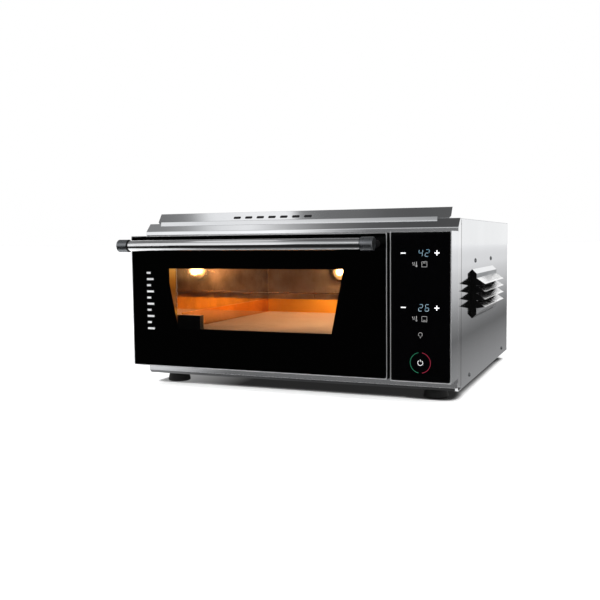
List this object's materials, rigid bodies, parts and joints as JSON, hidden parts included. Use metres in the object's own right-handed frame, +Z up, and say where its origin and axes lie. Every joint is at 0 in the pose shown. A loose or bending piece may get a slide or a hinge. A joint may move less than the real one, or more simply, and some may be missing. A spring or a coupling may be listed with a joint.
{
  "type": "countertop pizza oven",
  "caption": "Low stainless countertop pizza oven with a drop-down glass door and bar handle, touch control box, leaning heat deflector, louvred side vent and stone deck.",
  "frame": {"origin": "centre of the whole oven's footprint, on the counter under the feet", "axes": "+X to the right along the front, +Y from the door to the back, +Z up"},
  "size_m": [0.5838, 0.6326, 0.3026],
  "materials": {
    "stainless_sheet": "polished stainless sheet",
    "galvanised_sheet": "bare galvanised sheet",
    "chamber_steel": "bright polished stainless",
    "black_glass": "black-backed toughened glass, gloss",
    "clear_glass": "clear toughened glass",
    "black_print": "opaque black enamel print",
    "door_steel": "dark stainless sheet",
    "handle_steel": "polished tube",
    "cap_aluminium": "satin turned",
    "black_plastic": "moulded",
    "screw_steel": "passivated",
    "hinge_steel": "dark oxide",
    "foot_rubber": "moulded",
    "stone": "fired cordierite",
    "element_steel": "heat-darkened tube",
    "lamp_ceramic": "unglazed",
    "lamp_glow": "lit lamp",
    "lens_glass": "clear heat-proof glass",
    "mineral_wool": "stiff slab",
    "gasket_fibre": "woven fibre",
    "circuit_board": "green laminate with parts",
    "terminal_plastic": "moulded"
  },
  "bodies": {
    "casing": {"base_pan": "stainless_sheet", "front_frame": "stainless_sheet", "side_panel_left": "stainless_sheet", "side_panel_right": "stainless_sheet", "back_panel": "stainless_sheet", "top_cover": "stainless_sheet", "heat_deflector": "stainless_sheet", "side_vent_hood": "stainless_sheet", "divider_wall": "galvanised_sheet", "rubber_feet": "foot_rubber", "foot_screws": "screw_steel", "side_screws": "screw_steel", "base_screws": "screw_steel", "back_screws": "screw_steel", "control_box": "stainless_sheet", "control_glass": "black_glass", "display_board": "circuit_board", "chamber_left_wall": "chamber_steel", "chamber_right_wall": "chamber_steel", "chamber_back_wall": "chamber_steel", "chamber_roof": "chamber_steel", "chamber_floor": "chamber_steel", "stone_frame": "chamber_steel", "baking_stone": "stone", "upper_heating_elements": "element_steel", "lower_heating_elements": "element_steel", "lamp_socket": "lamp_ceramic", "lamp_bulb": "lamp_glow", "lamp_lens": "lens_glass", "temperature_probes": "element_steel", "insulation_left": "mineral_wool", "insulation_right": "mineral_wool", "insulation_back": "mineral_wool", "insulation_top": "mineral_wool", "insulation_bottom": "mineral_wool", "mouth_gasket": "gasket_fibre", "hinge_boxes": "hinge_steel", "hinge_arms": "hinge_steel", "fan_frame": "black_plastic", "fan_screws": "screw_steel", "power_board": "circuit_board", "board_standoffs": "screw_steel", "terminal_block": "terminal_plastic", "cable_gland": "black_plastic", "gland_nut": "black_plastic"},
    "door": {"door_outer_glass": "clear_glass", "door_print": "black_print", "door_frame": "door_steel", "door_inner_panel": "door_steel", "door_inner_glass": "clear_glass", "glass_retainers": "door_steel", "handle_tube": "handle_steel", "handle_caps": "cap_aluminium", "handle_rings": "black_plastic", "handle_posts": "black_plastic", "handle_screws": "screw_steel", "hinge_pins": "screw_steel", "door_hinge_brackets": "door_steel"},
    "fan_rotor": {"fan_rotor": "black_plastic"}
  },
  "joints": [
    {"name": "door_hinge", "type": "hinge", "parent": "casing", "child": "door", "pos_m": [-0.05805, -0.2422, 0.0477], "axis": [1, 0, 0], "range_deg": [0, 80]},
    {"name": "fan_spin", "type": "hinge", "parent": "casing", "child": "fan_rotor", "pos_m": [0.25665, 0.0008, 0.16125], "axis": [1, 0, 0], "continuous": true}
  ]
}
